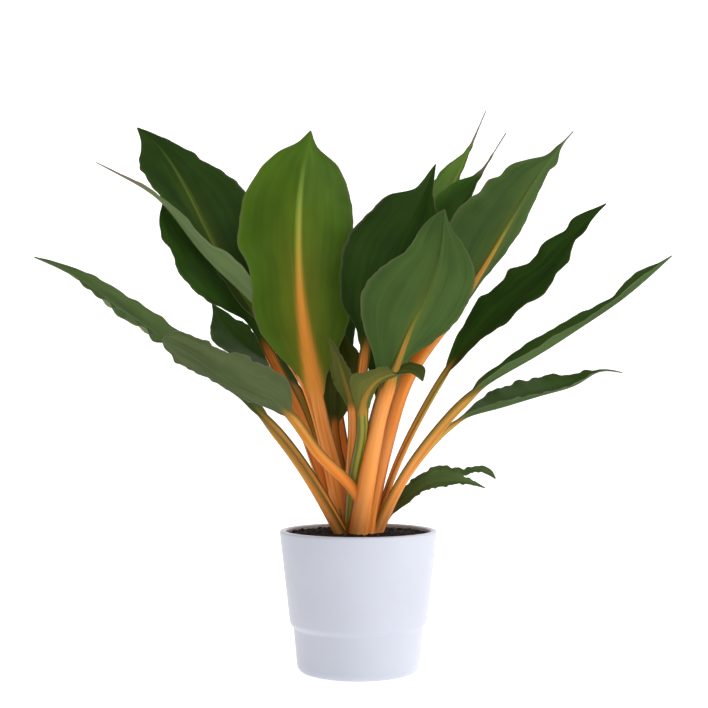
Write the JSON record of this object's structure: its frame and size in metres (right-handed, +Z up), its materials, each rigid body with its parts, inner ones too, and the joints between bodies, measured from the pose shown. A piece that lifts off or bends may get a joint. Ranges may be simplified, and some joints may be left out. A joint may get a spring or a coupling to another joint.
{
  "type": "potted foliage plant",
  "caption": "Broad-leaved plant with orange petioles and midribs and dark green waved blades, growing in soil in a tapered white plastic pot with a low chamfered step",
  "frame": {"origin": "middle of the pot's flat underside, on the surface it stands on", "axes": "+Z up along the pot's axis, -Y towards the front that the picture shows, +X to the right of it"},
  "size_m": [0.4995, 0.2711, 0.4862],
  "materials": {
    "pot": "moulded, satin",
    "soil": "loose peat and bark, matte",
    "petiole": "smooth, waxy",
    "leaf": "smooth, waxy"
  },
  "bodies": {
    "root": {"pot": "pot", "soil": "soil", "stalks": "petiole", "blade_front_tall": "leaf", "blade_back_left": "leaf", "blade_left_edge": "leaf", "blade_left_dark": "leaf", "blade_left_low_far": "leaf", "blade_left_low_near": "leaf", "blade_left_back_low": "leaf", "blade_centre_dark": "leaf", "blade_front_broad": "leaf", "blade_front_small": "leaf", "blade_centre_young": "leaf", "blade_centre_olive": "leaf", "blade_top_light": "leaf", "blade_top_dark": "leaf", "blade_right_tall": "leaf", "blade_right_dark": "leaf", "blade_right_long": "leaf", "blade_right_low": "leaf", "blade_right_lowest_back": "leaf", "blade_right_lowest_front": "leaf", "blade_back": "leaf", "blade_back_right": "leaf", "blade_back_far_right": "leaf"}
  },
  "joints": []
}
